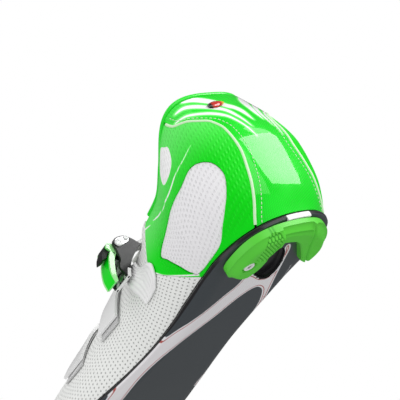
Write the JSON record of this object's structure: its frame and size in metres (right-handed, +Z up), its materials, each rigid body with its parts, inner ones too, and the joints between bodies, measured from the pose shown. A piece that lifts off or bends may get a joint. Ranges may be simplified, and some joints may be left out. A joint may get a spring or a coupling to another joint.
{
  "type": "road cycling shoe",
  "caption": "Stiff-soled cycling shoe for the left foot with a moulded heel cup, screwed heel pad, ratchet buckle over the instep and two hook-and-loop straps.",
  "frame": {"origin": "on the flat underside of the heel pad, under the middle of the heel, 6 mm in front of the heel's rearmost line", "axes": "+X to the outer side of a left foot, +Y to the heel, +Z up; the shoe stands on z = 0"},
  "size_m": [0.0912, 0.2916, 0.0913],
  "materials": {
    "counter_gloss": "high-gloss clear-coated green film with white flame lines",
    "green_film": "embossed satin green film",
    "green_tpu": "matte lime-green urethane",
    "white_mesh": "woven mesh with small perforations",
    "white_film": "satin welded film",
    "lining": "soft brushed textile over foam",
    "sole_composite": "fibre-filled nylon with printed lines",
    "black_nylon": "moulded nylon",
    "buckle_green": "lacquered",
    "steel": "bright",
    "board": "pressed fibre board",
    "insole_foam": "textile over foam",
    "badge_gloss": "domed resin"
  },
  "bodies": {
    "shoe": {"outsole": "sole_composite", "lasting_board": "board", "insole": "insole_foam", "heel_pad": "green_tpu", "heel_pad_washer": "steel", "heel_pad_screw": "steel", "heel_tab": "white_film", "toe_tread": "black_nylon", "toe_tread_screw_1": "steel", "toe_tread_screw_2": "steel", "heel_counter": "counter_gloss", "quarter_outer": "green_film", "quarter_inner": "green_film", "quarter_mesh_outer": "white_mesh", "quarter_mesh_inner": "white_mesh", "forefoot_panel_outer": "white_mesh", "forefoot_panel_inner": "white_mesh", "seam_piping_outer": "white_film", "seam_piping_inner": "white_film", "heel_stiffener": "board", "toe_stiffener": "board", "collar_lining": "lining", "collar_binding": "green_film", "vamp": "white_mesh", "toe_cap": "green_film", "tongue": "lining", "heel_badge": "badge_gloss", "instep_wing_outer": "white_film", "instep_wing_inner": "white_film", "instep_pad": "lining", "ladder_anchor_plate": "steel", "ladder_anchor_screw": "steel", "buckle_base": "black_nylon", "buckle_screw": "steel", "lever_pin": "steel", "holding_pawl_pin": "steel", "strap_middle_landing": "insole_foam", "strap_middle_anchor": "white_film", "strap_front_landing": "insole_foam", "strap_front_anchor": "white_film"},
    "ladder": {"ladder_strap": "white_film"},
    "lever": {"buckle_lever": "buckle_green", "release_pin": "steel", "drive_pawl_pin": "steel"},
    "release": {"release_lever": "black_nylon"},
    "driver": {"drive_pawl": "steel"},
    "holder": {"holding_pawl": "steel"},
    "middle_strap": {"strap_middle": "white_film"},
    "front_strap": {"strap_front": "white_film"},
    "nut_plate": {"cleat_nut_plate": "steel"}
  },
  "joints": [
    {"name": "strap_travel", "type": "hinge", "parent": "shoe", "child": "ladder", "pos_m": [0, -0.09, 0.029], "axis": [0, 1, 0], "range_deg": [-5, 5]},
    {"name": "lever_pull", "type": "hinge", "parent": "shoe", "child": "lever", "pos_m": [0.02672, -0.09, 0.06281], "axis": [0, -1, 0], "range_deg": [0, 60], "stiffness_Nm_per_rad": 0.02, "springref_deg": -17.19},
    {"name": "release_lift", "type": "hinge", "parent": "lever", "child": "release", "pos_m": [0.0315, -0.09, 0.06384], "axis": [0, -1, 0], "range_deg": [0, 15], "stiffness_Nm_per_rad": 0.01, "springref_deg": -17.19},
    {"name": "drive_pawl_kick", "type": "hinge", "parent": "lever", "child": "driver", "pos_m": [0.03033, -0.09, 0.05879], "axis": [0, -1, 0], "range_deg": [0, 12], "stiffness_Nm_per_rad": 0.005, "springref_deg": -17.19},
    {"name": "holding_pawl_lift", "type": "hinge", "parent": "shoe", "child": "holder", "pos_m": [0.02085, -0.09, 0.06485], "axis": [0, -1, 0], "range_deg": [0, 23], "stiffness_Nm_per_rad": 0.005, "springref_deg": -17.19},
    {"name": "middle_strap_peel", "type": "hinge", "parent": "shoe", "child": "middle_strap", "pos_m": [-0.02326, -0.121, 0.04483], "axis": [0, -1, 0], "range_deg": [0, 80]},
    {"name": "front_strap_peel", "type": "hinge", "parent": "shoe", "child": "front_strap", "pos_m": [-0.02187, -0.16, 0.04208], "axis": [0, -1, 0], "range_deg": [0, 80]},
    {"name": "cleat_nut_slide", "type": "slide", "parent": "shoe", "child": "nut_plate", "axis": [0, 1, 0], "range_m": [-0.003, 0.003]}
  ],
  "couplings": [
    {"joint": "holding_pawl_lift", "follows": "release_lift", "ratio": 1.5}
  ]
}
